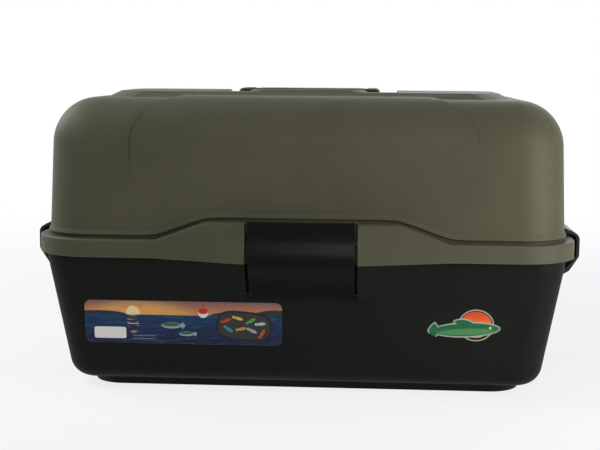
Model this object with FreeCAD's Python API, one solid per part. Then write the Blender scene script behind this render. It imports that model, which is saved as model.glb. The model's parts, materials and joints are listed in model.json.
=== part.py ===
import FreeCAD, Part
import math
import os

# Fishing tackle cabinet with a hinged lid and three cantilever trays.
# Millimetres. +X runs along the length, the front faces -Y, +Z is up.
# The origin is the middle of the footprint on the surface that the box stands on.

Vector = FreeCAD.Vector
SIDES = {"left": -1, "right": 1}

# Case, driving sizes
skirt_length = 504.0
skirt_depth = 270.0
skirt_wall = 3.0
skirt_gap = 7.5
skirt_drop = 13.5
skirt_corner_radius = 55.0

# Base tub
base_height = 143.0
base_band = 20.5
base_wall = 3.0
base_floor = 3.0
base_corner_radius = 28.0
base_bottom_radius = 19.8
base_end_slope = math.radians(9.35)
base_front_slope = math.radians(8.0)
foot_height = 8.0
foot_end_inset = 36.0
foot_side_inset = 36.5
foot_width = 10.0
foot_corner_radius = 30.0
foot_slope = math.radians(25.0)

# Lid shell
lid_seat_gap = 0.5
lid_overhang = 1.0
lid_wall = 3.0
lid_rise = 131.3
lid_corner_radius = 44.0
lid_crown_radius = 43.0
lid_end_slope = math.radians(2.0)
lid_front_slope = math.radians(3.0)

# Raised centre panel and pads on the lid
panel_end_inset = 84.5
panel_proud = 2.2
panel_fade_height = 49.0
panel_corner_radius = 46.0
pad_end_inset = 60.0
pad_side_inset = 61.5
pad_rise = 5.5
pad_corner_radius = 28.0
pad_slope = math.radians(62.0)
pad_groove_rise = 0.4
ridge_end_inset = 12.0
ridge_side_inset = 3.0
ridge_rise = 2.2
ridge_corner_radius = 12.0
ridge_slope = math.radians(62.0)

# Handle well and carry handle
well_end_gap = 18.0
well_depth = 72.0
well_drop = 21.3
well_corner_radius = 10.0
well_wall = 3.0
handle_length = 138.0
handle_arm_width = 12.0
handle_grip_depth = 22.0
handle_grip_height = 13.0
handle_reach = 40.0
handle_pivot_setback = 20.0
handle_pivot_drop = 7.3
handle_eye_radius = 7.0
handle_edge_radius = 4.0
handle_corner_radius = 6.0
handle_top_proud = 3.0
handle_pin_radius = 2.5
handle_ear_gap = 0.5
handle_ear_depth = 16.0
handle_ear_crest = 5.0

# Raised boss at the front of skirt and base, with the latch bay in it
boss_length = 270.0
boss_flat_length = 176.0
boss_rise = 17.3
boss_proud = 9.0
boss_dip = 3.0
boss_wall = 3.0
boss_gap = 0.5
boss_round = 14.0
base_boss_foot_length = 184.0
base_boss_foot_drop = 38.0
base_boss_foot_proud = 5.0
base_boss_spread = 6.0
base_boss_slant_share = 1.5
base_boss_end_share = 4.0
boss_end_share = 4.0

# Front latch
latch_width = 99.0
latch_side_gap = 1.5
latch_wall = 3.0
latch_pivot_drop = 32.5
latch_pivot_out = 3.6
latch_eye_radius = 3.4
latch_ear_radius = 4.4
latch_ear_width = 7.0
latch_pin_radius = 1.6
latch_belly_drop = 15.5
latch_waist_rise = 6.5
latch_waist_depth = 2.8
latch_shoulder_drop = 24.0
latch_knee_share = 0.2
latch_bend_share = 0.4
latch_crest = 2.2
latch_cheek = 3.0
latch_cheek_gap = 1.2
latch_hook_thickness = 2.5
latch_hook_gap = 0.4
latch_catch_width = 44.0
latch_catch_thickness = 3.5
latch_catch_reach = 12.0
latch_catch_rise = 10.5

# End clips that wrap the skirt
clip_width = 124.0
clip_wall = 2.8
clip_pivot_out = 3.8
clip_pivot_rise = 4.5
clip_eye_radius = 3.0
clip_pin_radius = 1.5
clip_proud = 8.5
clip_plate_top_rise = 0.5
clip_plate_height = 20.0
clip_tip_drop = 22.5
clip_tip_rise = 3.4
clip_tip_clearance = 0.8
clip_knee_drop = 15.5
clip_knee_out = 6.5
clip_ear_width = 7.2
clip_ear_place = 42.0
clip_ear_gap = 0.4
clip_rib_thickness = 2.4
clip_rib_count = 4
clip_rib_end_inset = 7.0
clip_catch_width = 100.0
clip_catch_thickness = 4.0
clip_catch_clearance = 0.4
clip_skirt_gap = 1.0
clip_bend_radius = 7.0

# Rear hinges
hinge_out = 4.5
hinge_drop = 9.0
hinge_knuckle_radius = 6.5
hinge_pin_radius = 2.0
hinge_end_inset = 122.0
hinge_length = 60.0
hinge_knuckles = 5
hinge_knuckle_gap = 0.4
hinge_notch_gap = 1.0
hinge_web_drop = 9.0
hinge_web_rise = 3.0

# Trays and dividers
tray_side_room = 24.5
tray_rear_room = 96.5
tray_height = 38.0
tray_gap = 2.0
tray_stagger = 16.0
tray_front_gap = 8.5
tray_base_drop = 48.0
tray_wall = 2.0
tray_floor = 2.0
tray_corner_radius = 9.0
tray_partition = 1.8
tray_partition_drop = 4.0
divider_thickness = 1.6
divider_play = 0.2
divider_drop = 5.0
slot_rib_width = 1.5
slot_rib_depth = 1.6
divider_counts = {"lower": 2, "middle": 3, "upper": 4}
TRAYS = ["lower", "middle", "upper"]

# Arms and links, in the side view
arm_first = 54.0
pivot_shift_share = 0.349
pivot_drop = 9.0
arm_thickness = 3.0
arm_width = 11.0
link_width = 10.0
lid_link_width = 7.0
lid_link_eye_radius = 5.5
pivot_rear_inset = 10.0
pivot_height_in_tray = 28.0
lower_link_forward_share = 0.575
lower_link_down = 12.0
middle_link_forward_share = 0.35
middle_link_down = 8.0
upper_link_back_share = 0.37
upper_link_rise = 5.0
link_side_gap = 0.3
link_layer_gap = 1.0
rivet_radius = 2.5
rivet_head_radius = 4.5
rivet_head_thickness = 1.5
rivet_depth = 5.0
pivot_play = 0.1
open_pivot_play = 0.3
tray_eye_radius = 6.0
tray_eye_proud = 1.2
base_ear_radius = 8.0
lid_ear_radius = 7.0

# Stickers
label_thickness = 0.3
label_length = 185.0
label_height = 41.5
label_end_inset = 38.0
label_boss_gap = 4.5
label_corner_radius = 6.0
badge_length = 81.0
badge_height = 32.0
badge_end_inset = 49.0
badge_boss_drop = 22.3

# Shared
overrun = 30.0
pin_play = 0.1

# Places worked out from the sizes
base_half_length = skirt_length / 2 - skirt_wall - skirt_gap
base_half_depth = skirt_depth / 2 - skirt_wall - skirt_gap
band_bottom = base_height - base_band
ledge_bottom = base_height + lid_seat_gap
ledge_top = ledge_bottom + skirt_wall
skirt_bottom = ledge_bottom - skirt_drop
lid_half_length = base_half_length + lid_overhang
lid_half_depth = base_half_depth + lid_overhang
lid_top = ledge_bottom + lid_rise
pad_top = lid_top + pad_rise
well_floor = lid_top - well_drop
hinge_y = skirt_depth / 2 + hinge_out
hinge_z = ledge_bottom - hinge_drop
front_reach = hinge_y + hinge_knuckle_radius
handle_top = pad_top + handle_top_proud
foot_length = (base_half_length - foot_end_inset) * 2
foot_depth = (base_half_depth - foot_side_inset) * 2
panel_length = (lid_half_length - panel_end_inset) * 2
pad_length = (lid_half_length - pad_end_inset) * 2
pad_depth = (lid_half_depth - pad_side_inset) * 2
well_length = handle_length + well_end_gap * 2
ridge_length = handle_length - ridge_end_inset * 2
base_boss_foot_height = skirt_bottom - base_boss_foot_drop
latch_pivot_height = skirt_bottom - latch_pivot_drop
latch_belly_height = ledge_top - latch_belly_drop
latch_waist_height = ledge_top + latch_waist_rise
latch_shoulder_height = ledge_top - latch_shoulder_drop
latch_catch_height = ledge_top + latch_catch_rise
clip_tip_height = skirt_bottom - clip_tip_drop
clip_knee_height = skirt_bottom - clip_knee_drop
hinge_place = skirt_length / 2 - hinge_end_inset
tray_length = (lid_half_length - lid_wall - tray_side_room) * 2
tray_spread = tray_stagger * (len(TRAYS) - 1)
tray_depth = (lid_half_depth - lid_wall) * 2 - tray_front_gap - tray_spread - tray_rear_room
tray_base_height = base_height - tray_base_drop
label_bottom = base_boss_foot_height - label_boss_gap - label_height
badge_middle_height = base_boss_foot_height - badge_boss_drop
label_place = label_end_inset + label_length / 2 - base_half_length
badge_place = base_half_length - badge_end_inset - badge_length / 2


def end_of(side, distance):
    """X of a place that lies this far from the middle on one side."""
    return SIDES[side] * distance


# General shapes
def block(x_low, x_high, y_low, y_high, z_low, z_high):
    low = [min(x_low, x_high), min(y_low, y_high), min(z_low, z_high)]
    size = [abs(x_high - x_low), abs(y_high - y_low), abs(z_high - z_low)]
    return Part.makeBox(size[0], size[1], size[2], Vector(low[0], low[1], low[2]))


def rod_along_x(x_start, x_end, y, z, radius):
    x_low = min(x_start, x_end)
    return Part.makeCylinder(radius, abs(x_end - x_start), Vector(x_low, y, z), Vector(1, 0, 0))


def rod_along_y(x, y_start, y_end, z, radius):
    y_low = min(y_start, y_end)
    return Part.makeCylinder(radius, abs(y_end - y_start), Vector(x, y_low, z), Vector(0, 1, 0))


def rounded_rectangle(half_x, half_y, radius, z, middle_y=0):
    """Closed level wire, counter-clockwise from the right-hand side."""
    edges = []
    corners = [(1, 1), (-1, 1), (-1, -1), (1, -1)]
    starts = []
    ends = []
    for sign_x, sign_y in corners:
        centre = Vector(sign_x * (half_x - radius), middle_y + sign_y * (half_y - radius), z)
        first = Vector(sign_x * radius, 0, 0)
        second = Vector(0, sign_y * radius, 0)
        if sign_x != sign_y:
            first, second = second, first
        middle = (first + second) * math.sqrt(1 / 2)
        edges.append(Part.Arc(centre + first, centre + middle, centre + second).toShape())
        starts.append(centre + first)
        ends.append(centre + second)
    wire = []
    for index, arc in enumerate(edges):
        wire.append(arc)
        wire.append(Part.makeLine(ends[index], starts[(index + 1) % len(starts)]))
    return Part.Wire(wire)


def tapered_block(half_x, half_y, radius, level, slope_x, slope_y, z_low, z_high, middle_y=0):
    """Rounded block with half sizes given at one level, that grows with height by its slopes."""
    wires = []
    for z in (z_low, z_high):
        grow_x = (z - level) * math.tan(slope_x)
        grow_y = (z - level) * math.tan(slope_y)
        wires.append(rounded_rectangle(half_x + grow_x, half_y + grow_y, radius, z, middle_y))
    return Part.makeLoft(wires, True, True)


def edges_at_level(shape, z):
    tolerance = shape.BoundBox.ZLength / 1000
    found = []
    for edge in shape.Edges:
        box = edge.BoundBox
        if abs(box.ZMin - z) < tolerance and abs(box.ZMax - z) < tolerance:
            found.append(edge)
    return found


def edges_along_y(shape, x, z):
    tolerance = shape.BoundBox.XLength / 1000
    found = []
    for edge in shape.Edges:
        box = edge.BoundBox
        is_there = abs(box.XMin - x) + abs(box.XMax - x) + abs(box.ZMin - z) + abs(box.ZMax - z) < tolerance
        if is_there and box.YLength > 0:
            found.append(edge)
    return found


def round_level_edges(shape, z, radius):
    return shape.makeFillet(radius, edges_at_level(shape, z))


def closed_wire(points):
    return Part.makePolygon(points + [points[0]])


def solid_from_faces(loops):
    faces = [Part.Face(closed_wire(loop)) for loop in loops]
    solid = Part.makeSolid(Part.makeShell(faces))
    if solid.Volume < 0:
        solid.reverse()
    return solid


def side_slab(x_start, x_end, wire_edges):
    """Slab between two X places from edges that are drawn in the YZ plane at X = 0."""
    face = Part.Face(Part.Wire(wire_edges))
    face.translate(Vector(min(x_start, x_end), 0, 0))
    return face.extrude(Vector(abs(x_end - x_start), 0, 0))


def side_polygon_slab(x_start, x_end, points):
    loop = [Vector(0, y, z) for y, z in points]
    return side_slab(x_start, x_end, closed_wire(loop).Edges)


def front_polygon_slab(y_start, y_end, points):
    loop = [Vector(x, min(y_start, y_end), z) for x, z in points]
    face = Part.Face(closed_wire(loop))
    return face.extrude(Vector(0, abs(y_end - y_start), 0))


def fused(shapes):
    result = shapes[0]
    if len(shapes) > 1:
        result = result.multiFuse(shapes[1:])
    return result.removeSplitter()


def write(node, shape):
    solids = shape.Solids
    good = shape.isValid() and all(solid.Volume > 0 for solid in solids)
    shape.exportStep(os.path.join("parts", node + ".step"))
    print(node, "solids", len(solids), "valid", good, "volume", round(shape.Volume))


# Tray linkage in the side view, each place a (y, z) pair
def side_point(start, along_y, along_z):
    return (start[0] + along_y, start[1] + along_z)


upper_tray_front = -(lid_half_depth - lid_wall) + tray_front_gap
tray_fronts = {}
tray_bottoms = {}
arm_pivots = {}
arm_step_y = -tray_stagger - tray_depth * pivot_shift_share
arm_step_z = tray_height + tray_gap - pivot_drop
arm_pitch = math.hypot(arm_step_y, arm_step_z)
lower_tray_front = upper_tray_front + tray_spread
first_pivot = (lower_tray_front + tray_depth - pivot_rear_inset, tray_base_height + pivot_height_in_tray)
for tray_index, tray_name in enumerate(TRAYS):
    tray_fronts[tray_name] = lower_tray_front - tray_stagger * tray_index
    tray_bottoms[tray_name] = tray_base_height + (tray_height + tray_gap) * tray_index
    arm_pivots[tray_name] = side_point(first_pivot, arm_step_y * tray_index, arm_step_z * tray_index)
arm_root_y = -arm_step_y * arm_first / arm_pitch
arm_root_z = -arm_step_z * arm_first / arm_pitch
arm_root = side_point(first_pivot, arm_root_y, arm_root_z)
lid_link_top = side_point(first_pivot, hinge_y - arm_root[0], hinge_z - arm_root[1])

# Each short link joins the piece below to the piece above it, parallel to the arm
short_links = {
    "lower": (arm_root, arm_pivots["lower"], lower_link_forward_share, lower_link_down),
    "middle": (arm_pivots["lower"], arm_pivots["middle"], middle_link_forward_share, middle_link_down),
    "upper": (arm_pivots["middle"], arm_pivots["upper"], -upper_link_back_share, -upper_link_rise),
}


def link_ends(name):
    start, end, forward_share, down = short_links[name]
    forward = tray_depth * forward_share
    return side_point(start, -forward, -down), side_point(end, -forward, -down)


# Layers from the tray's end outwards
tray_half_length = tray_length / 2
eye_face = tray_half_length + tray_eye_proud
arm_inner = eye_face + link_side_gap
arm_outer = arm_inner + arm_thickness
head_inner = arm_outer + link_side_gap
lid_link_inner = arm_outer + link_layer_gap
lid_link_outer = lid_link_inner + arm_thickness
ear_face = arm_outer + link_side_gap
lid_ear_face = lid_link_outer + link_side_gap


# Base tub
def base_outer(extra=0):
    body = tapered_block(
        base_half_length + extra, base_half_depth + extra, base_corner_radius + extra,
        band_bottom, base_end_slope, base_front_slope, foot_height - extra, band_bottom)
    return round_level_edges(body, foot_height - extra, base_bottom_radius + extra)


def base_inner():
    body = tapered_block(
        base_half_length - base_wall, base_half_depth - base_wall, base_corner_radius - base_wall,
        band_bottom, base_end_slope, base_front_slope, foot_height + base_floor, band_bottom)
    body = round_level_edges(body, foot_height + base_floor, base_bottom_radius - base_wall)
    band = tapered_block(
        base_half_length - base_wall, base_half_depth - base_wall, base_corner_radius - base_wall,
        band_bottom, 0, 0, band_bottom, base_height + overrun)
    return body.fuse(band)


def base_wall_front(z):
    """Y of the outside of the base's front wall, on its sloping plane."""
    return -base_half_depth + (band_bottom - z) * math.tan(base_front_slope)


latch_bay_half = latch_width / 2 + latch_side_gap
boss_front = -skirt_depth / 2 - boss_proud


def base_boss(side, inset):
    """Wedge under the skirt's boss on one side of the latch; inset 0 is its outside."""
    top = skirt_bottom - boss_gap - inset
    back = base_wall / 2 + inset * 2
    low = base_boss_foot_height + inset * 2
    inner_x = end_of(side, latch_bay_half + inset)
    end_top = end_of(side, boss_length / 2 + base_boss_spread - inset * base_boss_end_share)
    end_low = end_of(side, base_boss_foot_length / 2 - inset * base_boss_end_share)
    slant = inset * base_boss_slant_share
    outer_top = Vector(end_top, base_wall_front(top) + back, top)
    front_top = Vector(inner_x, boss_front + boss_gap + slant, top - boss_dip)
    back_top = Vector(inner_x, base_wall_front(top - boss_dip) + back, top - boss_dip)
    outer_low = Vector(end_low, base_wall_front(low) + back, low)
    front_low = Vector(inner_x, base_wall_front(low) - base_boss_foot_proud + slant, low)
    back_low = Vector(inner_x, base_wall_front(low) + back, low)
    loops = [
        [outer_top, front_top, back_top],
        [front_top, front_low, back_low, back_top],
        [outer_top, back_top, back_low, outer_low],
        [outer_low, front_low, back_low],
        [front_top, front_low, outer_low],
        [outer_top, front_top, outer_low],
    ]
    return solid_from_faces(loops)


latch_pivot_y = base_wall_front(latch_pivot_height) - latch_pivot_out
clip_catch_half = base_half_length + clip_catch_clearance


def base_clip_catch(side):
    """Rail on the end wall that the clip's tip closes under."""
    top = clip_tip_height + clip_tip_rise + clip_catch_clearance + clip_catch_thickness
    inner = base_half_length - (band_bottom - clip_tip_height) * math.tan(base_end_slope) - base_wall / 2
    half = clip_catch_width / 2
    return block(
        end_of(side, inner), end_of(side, clip_catch_half), -half, half, top - clip_catch_thickness, top)


def hinge_spans(owner):
    """X spans of the hinge knuckles of the base or the lid, about the hinge's middle."""
    pitch = hinge_length / hinge_knuckles
    spans = []
    for index in range(hinge_knuckles):
        is_base = index % 2 == 0
        if is_base == (owner == "base"):
            start = -hinge_length / 2 + pitch * index + hinge_knuckle_gap / 2
            spans.append((start, start + pitch - hinge_knuckle_gap))
    return spans


def base_knuckles(side):
    pieces = []
    for start, end in hinge_spans("base"):
        x_low = end_of(side, hinge_place) + start
        x_high = end_of(side, hinge_place) + end
        pieces.append(rod_along_x(x_low, x_high, hinge_y, hinge_z, hinge_knuckle_radius))
        web = [
            (base_half_depth - base_wall / 2, hinge_z + hinge_web_rise),
            (hinge_y, hinge_z + hinge_web_rise),
            (hinge_y, hinge_z - hinge_knuckle_radius),
            (base_half_depth - base_wall / 2, hinge_z - hinge_knuckle_radius - hinge_web_drop),
        ]
        pieces.append(side_polygon_slab(x_low, x_high, web))
    return pieces


def base_pivots():
    return [arm_root, link_ends("lower")[0]]


def make_base_tub():
    outer = base_outer()
    band = tapered_block(
        base_half_length, base_half_depth, base_corner_radius, band_bottom, 0, 0, band_bottom, base_height)
    foot = tapered_block(
        foot_length / 2, foot_depth / 2, foot_corner_radius, 0, foot_slope, foot_slope,
        0, foot_height + base_floor / 2)
    foot_hollow = tapered_block(
        foot_length / 2 - foot_width, foot_depth / 2 - foot_width, foot_corner_radius - foot_width,
        0, 0, 0, -overrun, foot_height)
    body = fused([outer, band] + [base_boss(side, 0) for side in SIDES] + [foot.cut(foot_hollow)])
    body = body.cut(base_inner())
    body = body.cut(fused([base_boss(side, boss_wall) for side in SIDES]))
    extras = []
    for side in SIDES:
        extras.append(base_clip_catch(side))
        extras.extend(base_knuckles(side))
        for y, z in base_pivots():
            ear = rod_along_x(end_of(side, ear_face), end_of(side, base_half_length), y, z, base_ear_radius)
            extras.append(ear.common(outer))
        extras.append(rod_along_x(
            end_of(side, latch_bay_half), end_of(side, latch_bay_half + latch_ear_width),
            latch_pivot_y, latch_pivot_height, latch_ear_radius))
    body = fused([body] + extras)
    holes = []
    for side in SIDES:
        middle = end_of(side, hinge_place)
        holes.append(rod_along_x(
            middle - hinge_length, middle + hinge_length, hinge_y, hinge_z, hinge_pin_radius))
        for y, z in base_pivots():
            depth = ear_face + rivet_depth
            holes.append(rod_along_x(end_of(side, ear_face), end_of(side, depth), y, z, rivet_radius))
    pin_half = latch_bay_half + latch_ear_width
    holes.append(rod_along_x(
        -pin_half, pin_half, latch_pivot_y, latch_pivot_height, latch_pin_radius))
    return body.cut(fused(holes))


# Lid shell
def lid_outer(extra=0):
    body = tapered_block(
        lid_half_length - extra, lid_half_depth - extra, lid_corner_radius - extra,
        ledge_top, -lid_end_slope, -lid_front_slope, ledge_bottom, lid_top - extra)
    return round_level_edges(body, lid_top - extra, lid_crown_radius - extra)


def lid_panel():
    """Centre panel that rises out of the front and rear walls towards the top."""
    fade = ledge_top + panel_fade_height
    top = lid_top + panel_proud
    depth = lid_half_depth - panel_fade_height * math.tan(lid_front_slope)
    lean = math.atan(math.tan(lid_front_slope) - panel_proud / (top - fade))
    body = tapered_block(
        lid_half_length, depth, lid_corner_radius, fade, -lid_end_slope, -lean, fade, top)
    body = round_level_edges(body, top, lid_crown_radius)
    half = panel_length / 2
    radius = panel_corner_radius
    lean_in = radius * (1 - math.sqrt(1 / 2))
    side_y = -skirt_depth
    low_left = Vector(-half, side_y, fade)
    low_right = Vector(half, side_y, fade)
    high_left = Vector(-half, side_y, top - radius)
    high_right = Vector(half, side_y, top - radius)
    top_left = Vector(-half + radius, side_y, top)
    top_right = Vector(half - radius, side_y, top)
    outline = Part.Wire([
        Part.makeLine(low_left, low_right),
        Part.makeLine(low_right, high_right),
        Part.Arc(high_right, Vector(half - lean_in, side_y, top - lean_in), top_right).toShape(),
        Part.makeLine(top_right, top_left),
        Part.Arc(top_left, Vector(-half + lean_in, side_y, top - lean_in), high_left).toShape(),
        Part.makeLine(high_left, low_left),
    ])
    window = Part.Face(outline).extrude(Vector(0, skirt_depth * 2, 0))
    return body.common(window)


def lid_pads():
    """Raised pads on top, with grooves across the rear ones beside the handle's ends."""
    pads = tapered_block(
        pad_length / 2, pad_depth / 2, pad_corner_radius, pad_top, -pad_slope, -pad_slope, lid_top, pad_top)
    grooves = []
    for side in SIDES:
        grooves.append(block(
            end_of(side, ridge_length / 2), end_of(side, well_length / 2),
            -well_depth / 2, pad_depth, lid_top + panel_proud + pad_groove_rise, pad_top + overrun))
    ridge = tapered_block(
        ridge_length / 2, pad_depth / 2 - ridge_side_inset, ridge_corner_radius,
        pad_top, -ridge_slope, -ridge_slope, pad_top, pad_top + ridge_rise)
    return pads.cut(fused(grooves)).fuse(ridge)


def well_block(extra, top):
    return tapered_block(
        well_length / 2 + extra, well_depth / 2 + extra, well_corner_radius + extra,
        0, 0, 0, well_floor - extra, top)


handle_pivot_z = pad_top - handle_pivot_drop - handle_ear_crest


def handle_ears():
    ears = []
    for side in SIDES:
        ears.append(block(
            end_of(side, handle_length / 2 + handle_ear_gap), end_of(side, well_length / 2 + well_wall / 2),
            handle_pivot_setback - handle_ear_depth / 2, handle_pivot_setback + handle_ear_depth / 2,
            well_floor - well_wall / 2, handle_pivot_z + handle_ear_crest))
    return ears


def boss_plan(inset):
    """Prism of the front boss seen from above; inset 0 is its outside."""
    back = -(lid_half_depth - lid_wall / 3) if inset == 0 else -(lid_half_depth + lid_overhang)
    half = boss_length / 2 - inset * boss_end_share
    points = [
        Vector(-half, -skirt_depth / 2 + inset, 0),
        Vector(-latch_bay_half, boss_front + inset, 0),
        Vector(latch_bay_half, boss_front + inset, 0),
        Vector(half, -skirt_depth / 2 + inset, 0),
        Vector(half, back, 0),
        Vector(-half, back, 0),
    ]
    face = Part.Face(closed_wire(points))
    return face.extrude(Vector(0, 0, lid_top))


def boss_outline(inset):
    """Slab of the front boss seen from the front, with rounded upper corners."""
    half = boss_length / 2
    flat = boss_flat_length / 2 - inset
    low = skirt_bottom if inset == 0 else skirt_bottom - overrun
    dip = boss_dip if inset == 0 else 0
    top = ledge_top + boss_rise - inset
    shoulder = ledge_top - inset
    points = [
        (-half, low), (-latch_bay_half, low - dip), (latch_bay_half, low - dip), (half, low),
        (half, shoulder), (flat, top), (-flat, top), (-half, shoulder),
    ]
    slab = front_polygon_slab(-skirt_depth, 0, points)
    corners = []
    for edge in slab.Edges:
        box = edge.BoundBox
        at_top = abs(box.ZMax - top) < lid_seat_gap and abs(box.ZMin - top) < lid_seat_gap
        runs_back = box.YLength > skirt_depth / 2
        if at_top and runs_back:
            corners.append(edge)
    return slab.makeFillet(boss_round, corners)


def lid_boss(inset):
    return boss_plan(inset).common(boss_outline(inset))


def lid_knuckles(side):
    pieces = []
    for start, end in hinge_spans("lid"):
        x_low = end_of(side, hinge_place) + start
        x_high = end_of(side, hinge_place) + end
        pieces.append(rod_along_x(x_low, x_high, hinge_y, hinge_z, hinge_knuckle_radius))
        web = [
            (skirt_depth / 2 - hinge_out, ledge_top),
            (hinge_y, ledge_top),
            (hinge_y + hinge_knuckle_radius, hinge_z),
            (hinge_y - hinge_knuckle_radius, hinge_z),
            (skirt_depth / 2 - hinge_out, ledge_bottom),
        ]
        pieces.append(side_polygon_slab(x_low, x_high, web))
    return pieces


def clip_pivot(side):
    return (end_of(side, lid_half_length + clip_pivot_out), ledge_top + clip_pivot_rise)


def lid_clip_ears(side):
    pieces = []
    x, z = clip_pivot(side)
    for place in (-clip_ear_place, clip_ear_place):
        y_low = place - clip_ear_width / 2
        y_high = place + clip_ear_width / 2
        pieces.append(rod_along_y(x, y_low, y_high, z, clip_eye_radius))
        pieces.append(block(
            end_of(side, lid_half_length - lid_wall / 2), x + SIDES[side] * clip_eye_radius,
            y_low, y_high, ledge_top - skirt_wall / 2, z))
    return pieces


def make_lid_shell():
    outer = lid_outer()
    skirt = tapered_block(
        skirt_length / 2, skirt_depth / 2, skirt_corner_radius, 0, 0, 0, skirt_bottom, ledge_top)
    body = fused([outer, skirt, lid_boss(0), lid_panel(), lid_pads()])
    skirt_room = tapered_block(
        skirt_length / 2 - skirt_wall, skirt_depth / 2 - skirt_wall, skirt_corner_radius - skirt_wall,
        0, 0, 0, skirt_bottom - overrun, ledge_bottom)
    inner = lid_outer(lid_wall)
    inner_foot = tapered_block(
        lid_half_length - lid_wall, lid_half_depth - lid_wall, lid_corner_radius - lid_wall,
        ledge_top, -lid_end_slope, -lid_front_slope, skirt_bottom, ledge_bottom + lid_wall)
    body = body.cut(fused([skirt_room, inner, inner_foot]))
    boss_room = lid_boss(boss_wall)
    for side in SIDES:
        keep = latch_bay_half + boss_wall
        half_room = boss_room.common(block(
            end_of(side, keep), end_of(side, skirt_length), -skirt_depth, 0, 0, lid_top))
        body = body.cut(half_room)
    bay_upper = block(
        -latch_bay_half, latch_bay_half, -skirt_depth, -lid_half_depth - lid_seat_gap,
        ledge_top, ledge_top + boss_rise + overrun)
    bay_lower = block(
        -latch_bay_half, latch_bay_half, -skirt_depth, -skirt_depth / 2, skirt_bottom - overrun, ledge_top)
    body = body.cut(fused([bay_upper, bay_lower]))
    well = well_block(well_wall, lid_top - lid_wall / 2).fuse(body)
    body = well.cut(well_block(0, pad_top + overrun))
    extras = handle_ears()
    catch_front = -lid_half_depth - latch_catch_reach
    extras.append(block(
        -latch_catch_width / 2, latch_catch_width / 2, catch_front, -lid_half_depth + lid_wall / 2,
        latch_catch_height, latch_catch_height + latch_catch_thickness))
    notches = []
    for side in SIDES:
        y, z = lid_link_top
        ear = rod_along_x(end_of(side, lid_ear_face), end_of(side, lid_half_length), y, z, lid_ear_radius)
        extras.append(ear.common(outer))
        extras.extend(lid_clip_ears(side))
        notch_half = hinge_length / 2 + hinge_notch_gap
        middle = end_of(side, hinge_place)
        notches.append(block(
            middle - notch_half, middle + notch_half,
            base_half_depth + skirt_gap / 2, skirt_depth, skirt_bottom - overrun, ledge_bottom))
    body = body.cut(fused(notches))
    for side in SIDES:
        extras.extend(lid_knuckles(side))
    body = fused([body] + extras)
    holes = []
    for side in SIDES:
        middle = end_of(side, hinge_place)
        holes.append(rod_along_x(
            middle - hinge_length, middle + hinge_length, hinge_y, hinge_z, hinge_pin_radius + pin_play))
        holes.append(rod_along_x(
            end_of(side, handle_length / 2), end_of(side, well_length / 2),
            handle_pivot_setback, handle_pivot_z, handle_pin_radius))
        x, z = clip_pivot(side)
        holes.append(rod_along_y(x, -clip_width / 2, clip_width / 2, z, clip_pin_radius))
        y, z = lid_link_top
        holes.append(rod_along_x(
            end_of(side, lid_ear_face), end_of(side, lid_ear_face + rivet_depth), y, z, rivet_radius))
    return body.cut(fused(holes))


# Carry handle
def make_carry_handle():
    half = handle_length / 2
    front = handle_pivot_setback - handle_reach - handle_grip_depth / 2
    grip_back = front + handle_grip_depth
    grip_low = handle_top - handle_grip_height
    outer = block(-half, half, front, handle_pivot_setback, grip_low, handle_top)
    corners = []
    for edge in outer.Edges:
        box = edge.BoundBox
        if box.ZLength > handle_grip_height / 2 and box.YMax < grip_back:
            corners.append(edge)
    outer = outer.makeFillet(handle_corner_radius, corners)
    opening = block(
        -half + handle_arm_width, half - handle_arm_width, grip_back, handle_pivot_setback + overrun,
        grip_low - overrun, handle_top + overrun)
    bail = outer.cut(opening)
    rounded = []
    for edge in bail.Edges:
        box = edge.BoundBox
        is_level = box.ZLength < handle_edge_radius / 2
        is_along = box.XLength > handle_length / 2
        if is_level and is_along:
            rounded.append(edge)
    bail = bail.makeFillet(handle_edge_radius, rounded)
    pieces = [bail]
    holes = []
    for side in SIDES:
        pieces.append(rod_along_x(
            end_of(side, half - handle_arm_width), end_of(side, half),
            handle_pivot_setback, handle_pivot_z, handle_eye_radius))
        holes.append(rod_along_x(
            end_of(side, half - handle_arm_width - overrun), end_of(side, half + overrun),
            handle_pivot_setback, handle_pivot_z, handle_pin_radius + pin_play))
    return fused(pieces).cut(fused(holes))


def make_handle_pins():
    pins = []
    for side in SIDES:
        inner = handle_length / 2 - handle_arm_width
        pins.append(rod_along_x(
            end_of(side, inner), end_of(side, well_length / 2),
            handle_pivot_setback, handle_pivot_z, handle_pin_radius))
    return Part.makeCompound(pins)


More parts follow.
